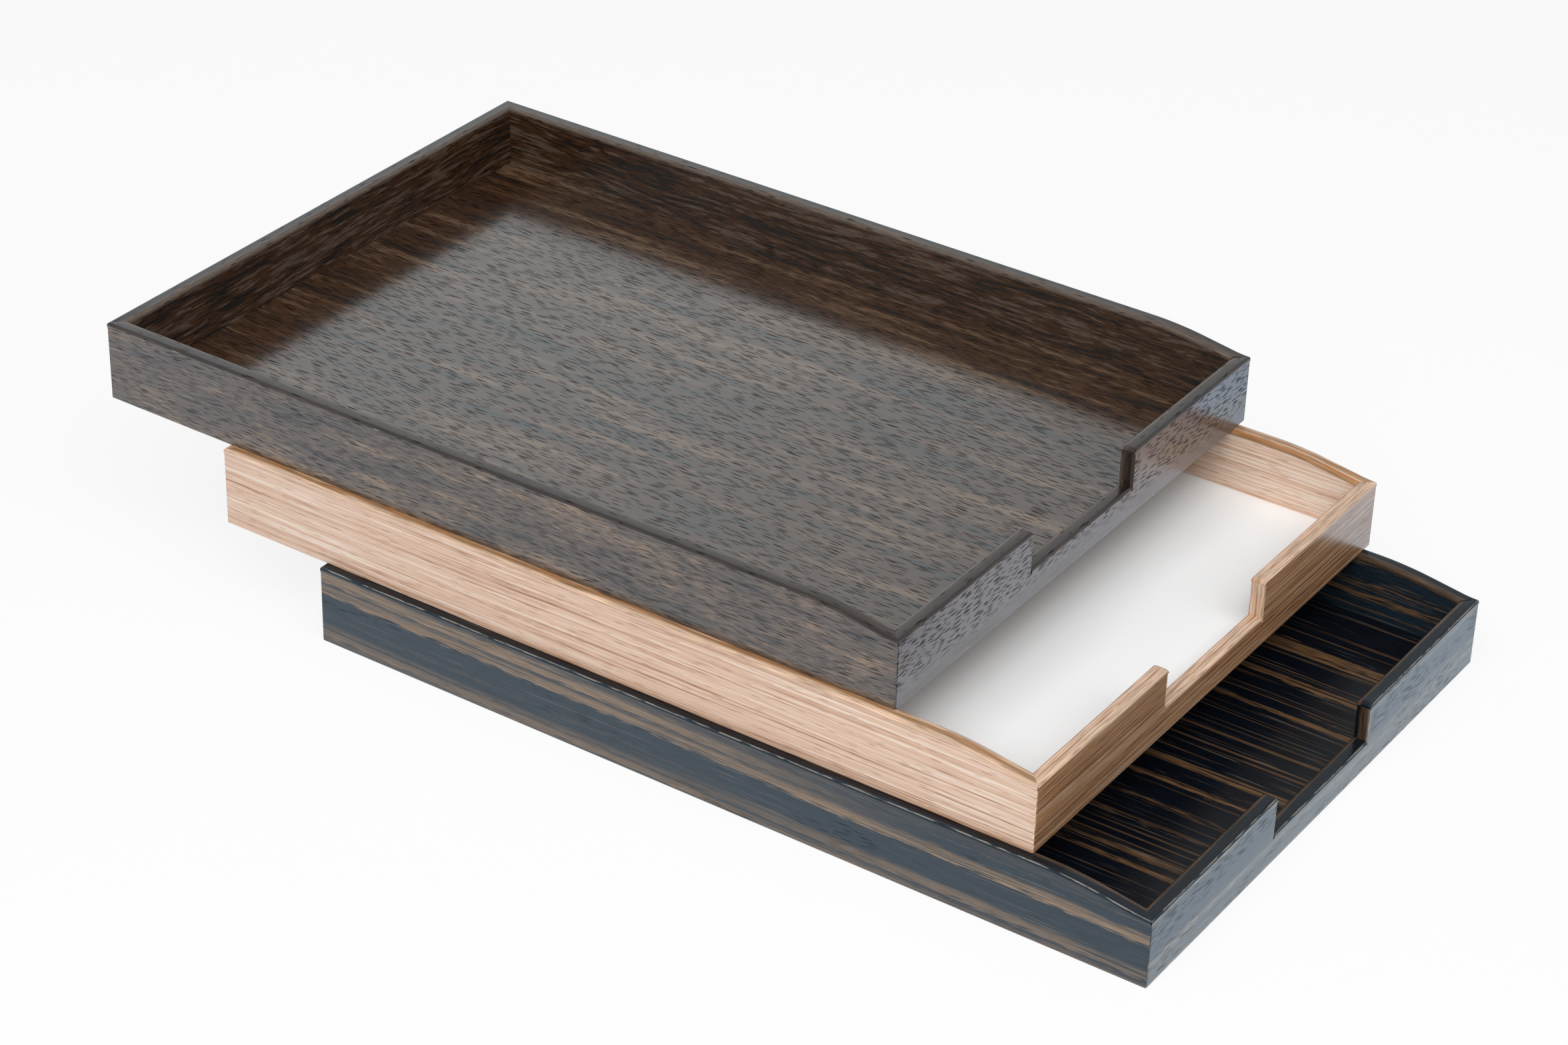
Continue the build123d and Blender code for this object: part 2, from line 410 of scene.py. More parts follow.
# Wenge by part: the grain's axis, shift and sway, cells of its patches and bands along and across
# the grain in millimetres, the share of the patches, cells and size of its pores, the settings that
# colour its ground and its palest streaks, half the width of the figure from dark to pale, and the
# lacquer's film
WENGE_PLAIN = dict(
    sway=2.8, patch=(70, 9), band=(18, 1.5), blend=0.3, pore=(14, 1.2, 0.1),
    ground="floor_brown", pale="brown", spread=0.065,
)
WENGE_PARTS = {
    "side": dict(
        grain=Y, shift=(0, 0, 0), sway=2.2, patch=(45, 8), band=(20, 1.1), blend=0.5,
        pore=(12, 0.62, 0.19), ground="brown", pale="tan", spread=0.13, film=1.0,
    ),
    "right": dict(WENGE_PLAIN, grain=Y, shift=(55, 140, 20), film=0.7),
    "back": dict(WENGE_PLAIN, grain=X, shift=(20, 60, 35), film=0.2),
    # The front board's ground is the painted sheen colour: its lighter, bluer tone stands in for a
    # reflection
    "end": dict(
        grain=X, shift=(40, 90, 5), sway=0.5, patch=(90, 12), band=(20, 2.0), blend=0.65,
        pore=(6.5, 0.95, 0.31), ground="painted_sheen_ground", pale="brown", spread=0.16, film=0.97,
    ),
    "floor": dict(
        grain=Y, shift=(0, 30, 0), sway=0.8, patch=(110, 14), band=(70, 4.5), blend=0.4,
        pore=(12, 0.9, 0.23), ground="floor_brown", pale="floor_tan", spread=0.1, film=1.0,
    ),
    **dict.fromkeys(RIMS, dict(grain=None, shift=(0, 0, 0), sway=0.3, pore=(20, 2.0, 0.1), film=0.52)),
}

# Wenge lippings: bands round the section, how far they wander, and the line along the outer seam,
# by its place, half its width and its gaps. The paler bands towards the inside of the top and on the
# inner round are a painted highlight.
WENGE_RIM = (
    (-0.5, "rim_edge"), (0.2, "rim_edge"), (0.9, "rim"), (2.6, "rim"), (4.6, "rim_edge"), (6.0, "brown"),
)
WENGE_WANDER = 3.0
WENGE_SEAM = (0.1, 0.2, 0.62)

# Wenge patterns: cells of the sway and of the fibres in millimetres, the details of the fibres, the
# patches and the bands, the share of the fibres, and the levels between which the ground lies
WENGE_SWAY = (60, 14)
WENGE_FIBRES = (7, 0.4, 2.0)
PATCH_DETAIL, BAND_DETAIL = 2.0, 3.0
WENGE_FIBRE_SHARE = 0.15
WENGE_GROUND = (0.47, 0.52)

# Over the lowest part of the front board, in millimetres, the pores fade out: a painted reflection, the
# plain lighter band that the mirrored white floor leaves there
CALM_LOW, CALM_HIGH = 4.0, 10.0

# The floor's lacquer is rubbed down further: its roughness is this share of the walls'
FLOOR_ROUGHNESS_SHARE = 0.75


def wenge_figure(tree, look, space, kind, fibres):
    """Dark, brown and tan figure of a wenge board."""
    patches = streaks(tree, space, *kind["patch"], PATCH_DETAIL)
    bands = streaks(tree, space, *kind["band"], BAND_DETAIL)
    figure = add(tree, "Mix", {0: kind["blend"], 2: bands, 3: patches}, data_type="FLOAT").outputs[0]
    mixed = add(tree, "Mix", {0: WENGE_FIBRE_SHARE, 2: figure, 3: fibres}, data_type="FLOAT").outputs[0]
    ground, pale = getattr(look, kind["ground"]), getattr(look, kind["pale"])
    shades = [(0.5 - kind["spread"], look.dark), (0.5 + kind["spread"], pale)]
    shades += [(level, ground) for level in WENGE_GROUND]
    shaded = add(tree, "ValToRGB", {"Fac": mixed}, stops=shades).outputs["Color"]
    return grained(tree, shaded, fibres, BOARD_GRAIN)


def calmed(tree, pores):
    """The pores, faded out towards the foot of the front board, as a painted reflection."""
    place = add(tree, "TexCoord").outputs["Object"]
    height = add(tree, "SeparateXYZ", {"Vector": place}).outputs["Z"]
    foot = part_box("top_front_wall")[0].z
    low, high = foot + CALM_LOW * MM, foot + CALM_HIGH * MM
    fade = add(tree, "MapRange", {"Value": height, "From Min": low, "From Max": high}).outputs[0]
    return add(tree, "Math", {0: pores, 1: fade}, operation="MULTIPLY").outputs[0]


def wenge(part):
    """Sliced wenge veneer under satin lacquer: dark and tan figure, dashes of open dark pores.

    A real pore is 0.2 to 0.3 mm wide. Here it is drawn a little wider, so that it shows.
    """
    look = bpy.context.scene.tray_wenge
    kind = WENGE_PARTS[part]
    sway = (*WENGE_SWAY, kind["sway"])
    material, space, fibres = veneer(f"wenge_veneer_{part}", kind, sway, WENGE_FIBRES)
    tree = material.node_tree
    if part in RIMS:
        ground = grained(tree, rim_bands(tree, look, WENGE_RIM, WENGE_WANDER), fibres, RIM_GRAIN)
    else:
        ground = wenge_figure(tree, look, space, kind, fibres)
    pores = dashes(tree, space, *kind["pore"])
    if part == "end":
        pores = calmed(tree, pores)
    base = add(tree, "Mix", {0: pores, 6: ground, 7: look.pore}, data_type="RGBA").outputs[2]
    if part in RIMS:
        base = edge_line(tree, base, look.filler, *WENGE_SEAM)
    relief = add(tree, "Math", {0: pores, 1: -1.0, 2: fibres}, operation="MULTIPLY_ADD").outputs[0]
    roughness = FLOOR_ROUGHNESS_SHARE * look.lacquer if part == "floor" else look.lacquer
    return lacquered(material, base, pores, relief, roughness, kind["film"])


# Pale veneer by part: the grain's axis, shift and sway, the settings that colour its dark lines, its
# ground and its palest lines, half the width of the figure between them, how far it is lifted
# towards the palest, and the lacquer's film
PALE_LONG = dict(grain=Y, sway=1.2, line="line", ground="ground", pale="pale", spread=0.13, film=1.0)
# The front and back boards take the darker front ground, which is partly painted shade
PALE_SHORT = dict(
    grain=X, sway=0.8, line="end_line", ground="shaded_end_ground", pale="rim_edge", spread=0.1, film=1.0
)
PALE_PARTS = {
    "side": dict(PALE_LONG, shift=(0, 0, 0), lift=0.01),
    # The right wall's larger lift makes it paler: painted light on that inner wall
    "right": dict(PALE_LONG, shift=(60, 120, 8), lift=0.05),
    "end": dict(PALE_SHORT, shift=(30, 70, 2), lift=0.0),
    "back": dict(PALE_SHORT, shift=(10, 20, 40), lift=0.0),
    **dict.fromkeys(RIMS, dict(grain=None, shift=(0, 0, 0), sway=0.4, film=0.5)),
}

# Pale lippings: bands round the section, brown-hearted on the side walls, how far they wander, and
# two lines of glue, each by its place, half its width and its gaps
PALE_RIMS = {
    "side_rim": (
        (-0.5, "ground"), (0.4, "rim_edge"), (1.8, "rim_edge"), (2.6, "rim"), (3.9, "rim"),
        (4.6, "rim_edge"), (5.2, "rim_edge"), (6.0, "rim"),
    ),
    **dict.fromkeys(
        ("end_rim", "notch_rim"),
        ((-0.5, "ground"), (1.0, "rim_edge"), (4.4, "rim_edge"), (5.2, "ground")),
    ),
}
PALE_WANDER = 5.0
PALE_GLUE = ((3.5, 0.25, 0.44), (6.2, 0.35, 0.40))

# Pale veneer's patterns: cells of the sway, the fibres, the bands and the lines in millimetres with
# their details, cells and size of the flecks, the shares of the bands and the fibres, half the width
# of the ground, and how strongly a fleck shows
PALE_SWAY = (140, 18)
PALE_FIBRES = (15, 0.36, 2.0)
PALE_BANDS = (300, 6, 2.0)
PALE_LINES = (120, 0.75, 3.0)
PALE_FLECKS = (22, 1.6, 0.1)
PALE_BAND_SHARE = 0.12
PALE_FIBRE_SHARE = 0.3
PALE_GROUND = 0.02
FLECK_STRENGTH = 0.5


def pale_figure(tree, look, space, kind, fibres):
    """Fine brown and cream lines of a pale board."""
    bands = streaks(tree, space, *PALE_BANDS)
    lines = streaks(tree, space, *PALE_LINES)
    figure = add(tree, "Mix", {0: PALE_BAND_SHARE, 2: lines, 3: bands}, data_type="FLOAT").outputs[0]
    mixed = add(tree, "Mix", {0: PALE_FIBRE_SHARE, 2: figure, 3: fibres}, data_type="FLOAT").outputs[0]
    line, ground, pale = (getattr(look, kind[name]) for name in ("line", "ground", "pale"))
    middle = 0.5 - kind["lift"]
    shades = [(middle - kind["spread"], line), (middle + kind["spread"], pale)]
    shades += [(middle - PALE_GROUND, ground), (middle + PALE_GROUND, ground)]
    return add(tree, "ValToRGB", {"Fac": mixed}, stops=shades).outputs["Color"]


def pale_veneer(part):
    """Quarter-cut pale veneer under satin lacquer: straight, fine brown and cream lines, dark flecks."""
    look = bpy.context.scene.tray_pale
    kind = PALE_PARTS[part]
    sway = (*PALE_SWAY, kind["sway"])
    material, space, fibres = veneer(f"pale_striped_veneer_{part}", kind, sway, PALE_FIBRES)
    tree = material.node_tree
    if part in RIMS:
        ground = grained(tree, rim_bands(tree, look, PALE_RIMS[part], PALE_WANDER), fibres, RIM_GRAIN)
    else:
        ground = pale_figure(tree, look, space, kind, fibres)
    pores = dashes(tree, space, *PALE_FLECKS)
    flecks = add(tree, "Math", {0: pores, 1: FLECK_STRENGTH}, operation="MULTIPLY").outputs[0]
    base = add(tree, "Mix", {0: flecks, 6: ground, 7: look.end_line}, data_type="RGBA").outputs[2]
    if part in RIMS:
        for line in PALE_GLUE:
            base = edge_line(tree, base, look.glue, *line)
    return lacquered(material, base, pores, fibres, look.lacquer, kind["film"])


# Ebony by part: the grain's axis and shift, the settings that colour its ground and its stripes, how
# much rarer the stripes are than on the floor, the level above which its patches have pores, and
# the lacquer's film. The left and front boards have bands of their own instead of such stripes.
# The walls take a lighter, bluer ground than the floor, which paints the sheen of their lacquer
EBONY_PLAIN = dict(ground="painted_sheen_slate", stripe="inner_stripe", rarer=0.015, open=0.55, film=0.6)
EBONY_PARTS = {
    "side": dict(grain=Y, shift=(0, 0, 0), ground="painted_sheen_slate", stripe="stripe", open=0.58, film=0.75),
    "right": dict(EBONY_PLAIN, grain=Y, shift=(45, 160, 12)),
    "end": dict(grain=X, shift=(0, 0, 0), ground="painted_sheen_slate", stripe="streak", open=0.46, film=0.85),
    "back": dict(EBONY_PLAIN, grain=X, shift=(35, 15, 50)),
    "floor": dict(
        grain=Y, shift=(0, 0, 0), ground="ground", stripe="inner_stripe", rarer=0.0, open=0.70, film=0.12
    ),
    "side_rim": dict(grain=None, shift=(0, 0, 0), open=0.70, film=0.3),
    "end_rim": dict(grain=None, shift=(0, 0, 0), open=0.70, film=0.25),
    "notch_rim": dict(grain=None, shift=(0, 0, 0), open=0.70, film=0.8),
}

# Ebony lippings: bands round the section, how far they wander, and the worn line on the outer edge,
# by its place, half its width and its gaps
# A lipping's outer band takes the walls' lighter, bluer ground, with its painted sheen
EBONY_RIMS = {
    "side_rim": (
        (-0.5, "painted_sheen_slate"), (1.0, "painted_sheen_slate"), (1.7, "ground"), (4.0, "ground"), (4.8, "rim"), (7.0, "rim"),
    ),
    "end_rim": (
        (-0.5, "painted_sheen_slate"), (0.9, "painted_sheen_slate"), (1.7, "ground"), (4.6, "ground"), (5.4, "rim"), (7.0, "rim"),
    ),
    "notch_rim": ((-0.5, "painted_sheen_slate"), (0.5, "worn"), (1.2, "rim"), (4.2, "rim"), (5.2, "ground")),
}
EBONY_WANDER = 5.0
EBONY_WORN = (0.9, 0.3, 0.45)

# Brown bands of the ebony left and front boards: a height in millimetres, read at the board's front
# or left end, and how brown the veneer is there. A board's figure passes from the first table at
# that end to the second over these shares of its length, and its bands lean with the grain.
EBONY_BANDS = {
    "side": (
        (
            (-6.0, 0.2), (-2.0, 0.5), (0.4, 0.5), (1.3, 0.05), (2.3, 0.05), (3.0, 0.6), (5.8, 0.6),
            (7.2, 0.0), (17.3, 0.0), (18.0, 1.0), (19.6, 0.95), (20.0, 0.6), (20.4, 0.85), (21.2, 0.7),
            (22.4, 0.0), (26.2, 0.0), (26.6, 0.25), (27.0, 0.0), (29.0, 0.1), (35.0, 0.0),
        ),
        (
            (-6.0, 0.3), (-2.0, 0.3), (-1.2, 0.65), (1.0, 0.6), (1.8, 0.1), (2.4, 0.35), (3.4, 0.3),
            (4.4, 0.0), (7.8, 0.0), (8.3, 0.2), (8.8, 0.0), (17.2, 0.0), (18.0, 0.9), (20.6, 0.8),
            (21.6, 0.2), (22.2, 0.1), (22.8, 0.85), (26.0, 0.9), (27.4, 0.1), (29.0, 0.35), (35.0, 0.2),
        ),
    ),
    "end": (
        (
            (0.0, 0.8), (0.8, 0.6), (1.4, 0.2), (3.4, 0.3), (5.0, 0.4), (6.0, 0.25), (7.6, 0.4),
            (8.6, 0.8), (9.4, 0.6), (10.2, 0.15), (12.0, 0.0), (25.8, 0.0), (26.8, 0.6), (27.6, 0.9),
            (35.0, 0.9),
        ),
        (
            (0.0, 0.7), (1.2, 0.3), (3.0, 0.3), (5.2, 0.35), (6.4, 0.6), (8.2, 0.5), (9.2, 0.15),
            (10.4, 0.3), (11.2, 0.7), (12.2, 0.1), (14.0, 0.0), (24.2, 0.0), (25.2, 0.6), (26.0, 0.2),
            (27.6, 0.7), (35.0, 0.7),
        ),
    ),
}
EBONY_BOARDS = {"side": ("bottom_left_wall", Y), "end": ("bottom_front_wall", X)}
EBONY_LEAN = {"side": 0.012, "end": 0.002}
EBONY_LOW, EBONY_HIGH = -6.0, 35.0
PASSING_SHARES = (0.2, 2 / 3)

# How far the fibres feather the bands, in millimetres
FEATHER = 5.0

# Ebony patterns: cells in millimetres with the sway or the detail, and the levels of noise between
# which a pattern sets in
EBONY_SWAY = (160, 25, 1.5)
EBONY_FIBRES = (9, 0.5, 2.0)
BAND_GAPS, BAND_GAP_LEVELS = (120, 0.9, 2.0), (0.3, 0.46)
BROAD_STRIPES, BROAD_LEVELS = (500, 6, 3.0), (0.55, 0.59)
NARROW_STRIPES, NARROW_LEVELS = (300, 1.8, 2.0), (0.60, 0.68)
STRIPE_GAPS, STRIPE_GAP_LEVELS = (160, 1.1, 2.0), (0.34, 0.5)
HAIRS, HAIR_LEVELS = (60, 0.9, 2.0), (0.63, 0.72)
PORE_PATCHES, PATCH_SOFTNESS = (45, 8, 2.0), 0.08

# The share of the fibres in the broad stripes, how strongly narrow stripes and hairs show, and cells
# and size of the torn grain and of the pores
RAGGED_SHARE = 0.2
NARROW_STRENGTH, HAIR_STRENGTH = 0.6, 0.35
TORN_GRAIN = (12, 0.9, 0.24)
EBONY_PORES = (11, 0.7, 0.25)


def board_stripes(tree, space, part, fibres):
    """How brown an ebony left or front board is: bands at set heights with feathered edges."""
    board, axis = EBONY_BOARDS[part]
    start, end = (corner[axis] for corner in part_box(board))
    place = add(tree, "SeparateXYZ", {"Vector": space})
    leant = {0: place.outputs["X"], 1: -EBONY_LEAN[part], 2: place.outputs["Z"]}
    level = add(tree, "Math", leant, operation="MULTIPLY_ADD").outputs[0]
    feathered = {0: fibres, 1: FEATHER * MM, 2: level}
    fuzzy = add(tree, "Math", feathered, operation="MULTIPLY_ADD").outputs[0]
    shift = FEATHER / 2 * MM - EBONY_LEAN[part] * start
    low, high = EBONY_LOW * MM + shift, EBONY_HIGH * MM + shift
    span = {"Value": fuzzy, "From Min": low, "From Max": high}
    height = add(tree, "MapRange", span).outputs[0]
    ramps = []
    for table in EBONY_BANDS[part]:
        stops = [((mm - EBONY_LOW) / (EBONY_HIGH - EBONY_LOW), (brown,) * 3) for mm, brown in table]
        ramps.append(add(tree, "ValToRGB", {"Fac": height}, stops=stops).outputs["Color"])
    first, last = (start + way * (end - start) for way in PASSING_SHARES)
    passing = {"Value": place.outputs["X"], "From Min": first, "From Max": last}
    way = add(tree, "MapRange", passing, interpolation_type="SMOOTHSTEP").outputs[0]
    bands = add(tree, "Mix", {0: way, 6: ramps[0], 7: ramps[1]}, data_type="RGBA").outputs[2]
    lined = cut_streaks(tree, space, BAND_GAPS, BAND_GAP_LEVELS)
    return add(tree, "Math", {0: bands, 1: lined}, operation="MULTIPLY").outputs[0]


def random_stripes(tree, space, fibres, rarer):
    """How brown the ebony is elsewhere: ragged stripes of all widths, whose levels rarer lifts."""
    wide = streaks(tree, space, *BROAD_STRIPES)
    ragged = add(tree, "Mix", {0: RAGGED_SHARE, 2: wide, 3: fibres}, data_type="FLOAT").outputs[0]
    low, high = (level + rarer for level in BROAD_LEVELS)
    edge = {"Value": ragged, "From Min": low, "From Max": high}
    broad = add(tree, "MapRange", edge, interpolation_type="SMOOTHSTEP").outputs[0]
    lined = cut_streaks(tree, space, STRIPE_GAPS, STRIPE_GAP_LEVELS)
    striped = add(tree, "Math", {0: broad, 1: lined}, operation="MULTIPLY").outputs[0]
    levels = tuple(level + rarer for level in NARROW_LEVELS)
    narrow = cut_streaks(tree, space, NARROW_STRIPES, levels, NARROW_STRENGTH, "SMOOTHSTEP")
    return add(tree, "Math", {0: striped, 1: narrow}, operation="MAXIMUM").outputs[0]


def ebony_figure(tree, look, space, part, fibres):
    """Blue-black ground, lighter and bluer on the walls as painted sheen, with brown stripes and thin pale
    streaks.
    """
    kind = EBONY_PARTS[part]
    if part in EBONY_BANDS:
        brown = board_stripes(tree, space, part, fibres)
    else:
        brown = random_stripes(tree, space, fibres, kind["rarer"])
    ground = grained(tree, getattr(look, kind["ground"]), fibres, BOARD_GRAIN)
    stripe = grained(tree, getattr(look, kind["stripe"]), fibres, STRIPE_GRAIN)
    if part == "end":
        torn = {0: dashes(tree, space, *TORN_GRAIN), 1: brown}
        dusty = add(tree, "Math", torn, operation="MULTIPLY").outputs[0]
        stripe = add(tree, "Mix", {0: dusty, 6: stripe, 7: look.pale}, data_type="RGBA").outputs[2]
    striped = add(tree, "Mix", {0: brown, 6: ground, 7: stripe}, data_type="RGBA").outputs[2]
    hairs = cut_streaks(tree, space, HAIRS, HAIR_LEVELS, HAIR_STRENGTH, "SMOOTHSTEP")
    return add(tree, "Mix", {0: hairs, 6: striped, 7: look.streak}, data_type="RGBA").outputs[2]


def ebony(part):
    """Striped ebony veneer under satin lacquer: blue-black, with feathered brown stripes."""
    look = bpy.context.scene.tray_ebony
    kind = EBONY_PARTS[part]
    material, space, fibres = veneer(f"ebony_veneer_{part}", kind, EBONY_SWAY, EBONY_FIBRES)
    tree = material.node_tree
    if part in RIMS:
        base = grained(tree, rim_bands(tree, look, EBONY_RIMS[part], EBONY_WANDER), fibres, RIM_GRAIN)
        base = edge_line(tree, base, look.worn, *EBONY_WORN)
    else:
        base = ebony_figure(tree, look, space, part, fibres)
    clusters = cut_streaks(tree, space, PORE_PATCHES, (kind["open"], kind["open"] + PATCH_SOFTNESS))
    fine = dashes(tree, space, *EBONY_PORES)
    pores = add(tree, "Math", {0: fine, 1: clusters}, operation="MULTIPLY").outputs[0]
    relief = add(tree, "Math", {0: pores, 1: -1.0, 2: fibres}, operation="MULTIPLY_ADD").outputs[0]
    return lacquered(material, base, pores, relief, look.lacquer, kind["film"])


# Boards without lacquer: the axis of the pattern, its cells in millimetres and detail, the share of
# the colour left in its dark spots, the roughness, and the relief's strength and depth in millimetres
LAMINATE = dict(grain=X, cells=(1.5, 1.5, 2.0), dull=0.98, roughness=0.55, relief=(0.15, 0.05))
BACKING = dict(grain=Y, cells=(30, 1.2, 3.0), dull=0.5, roughness=0.7, relief=(0.3, 0.1))
PLY_ROUGHNESS = 0.65

# Blender's wave texture multiplies its scale by this
WAVE_FACTOR = 20


def matt_board(name, shade, kind):
    """A board without lacquer: one colour with duller spots or fibres, and a slight relief of them."""
    material = new_material(name)
    tree = material.node_tree
    pattern = streaks(tree, grain_space(tree, kind["grain"], (0, 0, 0)), *kind["cells"])
    dull = tuple(kind["dull"] * value for value in shade)
    base = add(tree, "Mix", {0: pattern, 6: dull, 7: shade}, data_type="RGBA").outputs[2]
    strength, depth = kind["relief"]
    bump = add(tree, "Bump", {"Height": pattern, "Strength": strength, "Distance": depth * MM})
    normal = bump.outputs["Normal"]
    surface = {"Base Color": base, "Roughness": kind["roughness"], "IOR": IOR, "Normal": normal}
    shader = add(tree, "BsdfPrincipled", surface)
    add(tree, "OutputMaterial", {"Surface": shader.outputs[0]})
    return material


def laminate(part):
    """White melamine laminate, pressed matt: even and soft, with a barely seen mottle."""
    return matt_board(f"white_laminate_{part}", bpy.context.scene.tray_board.laminate, LAMINATE)


def backed_board():
    """Underside of the base board: plain backing veneer, sanded and left without lacquer."""
    return matt_board("backing_veneer", bpy.context.scene.tray_board.backing, BACKING)


def plywood():
    """Birch plywood of the splines: pale and darker plies in turn, so the wave's length is two plies."""
    look = bpy.context.scene.tray_board
    material = new_material("birch_plywood")
    tree = material.node_tree
    place = add(tree, "TexCoord").outputs["Object"]
    wave = {"Vector": place, "Scale": math.pi / (WAVE_FACTOR * look.ply), "Distortion": 0.0}
    plies = add(tree, "TexWave", wave, bands_direction="Z").outputs["Fac"]
    base = add(tree, "Mix", {0: plies, 6: look.ply_pale, 7: look.ply_dark}, data_type="RGBA").outputs[2]
    shader = add(tree, "BsdfPrincipled", {"Base Color": base, "Roughness": PLY_ROUGHNESS, "IOR": IOR})
    add(tree, "OutputMaterial", {"Surface": shader.outputs[0]})
    return material


# The veneer of each tray
VENEERS = {"bottom": ebony, "middle": pale_veneer, "top": wenge}
made_materials = {}


def finish(tray, part):
    """The tray's veneer for a part: a wall, the floor or a rim. It is made once."""
    maker = laminate if (tray, part) == ("middle", "floor") else VENEERS[tray]
    if (tray, part) not in made_materials:
        made_materials[tray, part] = maker(part)
    return made_materials[tray, part]


def dress(node, material):
    """Gives a CAD node a material in every slot."""
    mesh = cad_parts[node].data
    mesh.materials.clear()
    mesh.materials.append(material)


# Lippings

# Steps of each upper round of a lipping's section, and how near to a round's end a point keeps the
# flat beside it flat, as a share of the lipping's depth
ARC_STEPS = 10
FLAT_SHARE = 0.05

# The loop's point where the outer flat ends: the seam from which V is measured
SEAM_STEP = 2

# A lipping's grain starts at this many times its place, so that no two share a pattern
GRAIN_STEP = 7.0

# Faces that meet at a larger angle than this keep their edge sharp
SHARP_ANGLE = math.radians(40)

# How far the underside of a side rim is set into its board, in millimetres
SEAM_OVERLAP = 0.05


def lipping_loop(width, depth, settings):
    """Closed section of a lipping as (across, rise) rows, from the outer foot over the top.

    Across runs from the outer face to the inner one, rise from the underside to the top. The two
    upper corners are quarter circles, and a point near each arc's end keeps the flats flat.
    """
    limit = settings.round_limit * depth
    outer = min(settings.outer_round, limit)
    inner = min(settings.inner_round, limit)
    turn = np.linspace(0, math.pi / 2, ARC_STEPS + 1)
    near = FLAT_SHARE * depth
    outer_arc = np.stack([outer - outer * np.cos(turn), depth - outer + outer * np.sin(turn)], 1)
    inner_arc = np.stack(
        [width - inner + inner * np.sin(turn), depth - inner + inner * np.cos(turn)], 1
    )
    return np.concatenate(
        [
            [(0, 0), (0, depth - outer - near)],
            outer_arc,
            [(outer + near, depth), (width - inner - near, depth)],
            inner_arc,
            [(width, depth - inner - near), (width, 0)],
        ]
    )


def swept_mesh(name, grid, along, around, materials, on_board):
    """Mesh of a grid of points, closed round its loops and capped at both ends.

    UV is the way along and round the loop, in metres. Faces from the loop's steps in on_board
    take the second material.
    """
    rows, points = grid.shape[:2]
    row, step = np.meshgrid(np.arange(rows - 1), np.arange(points), indexing="ij")
    following = (step + 1) % points
    face = ((row, step), (row, following), (row + 1, following), (row + 1, step))
    quads = np.stack([at_row * points + at_step for at_row, at_step in face], -1).reshape(-1, 4)
    first = np.arange(points)[::-1]
    last = (rows - 1) * points + np.arange(points)
    corners = grid.reshape(-1, 3)
    a, b, c, d = (corners[quads[:, k]] for k in range(4))
    outward = np.einsum("ij,ij->", a, np.cross(b - a, c - a) + np.cross(c - a, d - a))
    if outward < 0:
        quads, first, last = quads[:, ::-1], first[::-1], last[::-1]
    mesh = bpy.data.meshes.new(name)
    mesh.from_pydata(corners.tolist(), [], [*quads.tolist(), first.tolist(), last.tolist()])
    u = np.stack([along[place] for place in face], -1).reshape(-1, 4)
    v = np.stack([around[step], around[step + 1], around[step + 1], around[step]], -1).reshape(-1, 4)
    if outward < 0:
        u, v = u[:, ::-1], v[:, ::-1]
    uv = np.zeros((len(mesh.loops), 2), np.float32)
    uv[: quads.size] = np.stack([u.ravel(), v.ravel()], 1)
    mesh.uv_layers.new(name="grain").data.foreach_set("uv", uv.ravel())
    slots = np.zeros(len(mesh.polygons), np.int32)
    slots[: len(quads)] = np.isin(step.ravel(), list(on_board))
    for material in materials:
        mesh.materials.append(material)
    mesh.polygons.foreach_set("material_index", slots)
    mesh.polygons.foreach_set("use_smooth", np.ones(len(mesh.polygons), bool))
    mesh.set_sharp_from_angle(angle=SHARP_ANGLE)
    mesh.update()
    return mesh


def lipping(tray, piece, axes, inward, mitres, shares, lines, parts):
    """Sweeps a lipping in place of a CAD node and lets it ride on the tray.

    axes are the numbers of the axes along, across and up from the board. inward is +1 or -1, the
    way across to the inner face. A point of the loop at (a, rise) and at share s of the way lies
    at s of the way between the two ends, at the outer face + inward a across, and between the two
    lines (bottom, top) at rise / depth. A mitred end lies at the tray's corner + a, but no nearer
    to it than the CAD node, whose corner is rounded. parts name the lipping's veneer and the
    board's, which shows on the outer flat.
    """
    settings = bpy.context.scene.tray_lipping
    node = f"{tray}_{piece}"
    low, high = (np.array(corner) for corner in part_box(node))
    run, cross, rise = axes
    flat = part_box(f"{tray}_notch_end_left" if rise == X else f"{tray}_back_rim")
    depth = (flat[1] - flat[0])[rise]
    loop = lipping_loop(high[cross] - low[cross], depth, settings)
    across = loop[:, 0]
    corners = [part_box(f"{tray}_{side}_wall") for side in ("left", "right", "front", "back")]
    near, far = np.min(corners, axis=(0, 1)), np.max(corners, axis=(0, 1))
    ends = (
        np.maximum(low[run], near[run] + mitres[0] * across),
        np.minimum(high[run], far[run] - mitres[1] * across),
    )
    along = ends[0] + np.outer(shares, ends[1] - ends[0])
    bottom, top = lines(along)
    worn = np.zeros(len(shares))
    worn[0], worn[-1] = np.array(mitres) * settings.mitre_ease
    height = bottom + (top - bottom - worn[:, None]) * loop[:, 1] / depth
    grid = np.zeros((*along.shape, 3))
    grid[..., run] = along
    grid[..., cross] = (low if inward > 0 else high)[cross] + inward * across
    grid[..., rise] = height
    steps = np.linalg.norm(np.diff(loop, axis=0, append=loop[:1]), axis=1)
    around = np.concatenate([[0], np.cumsum(steps)])
    around -= around[SEAM_STEP]
    materials = [finish(tray, part) for part in parts]
    grain = along + GRAIN_STEP * (low[cross] + low[rise])
    mesh = swept_mesh(f"{node}_lipping", grid, grain, around, materials, range(SEAM_STEP))
    made = bpy.data.objects.new(mesh.name, mesh)
    bpy.context.scene.collection.objects.link(made)
    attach(made, f"{tray}_tray")
    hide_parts(node)


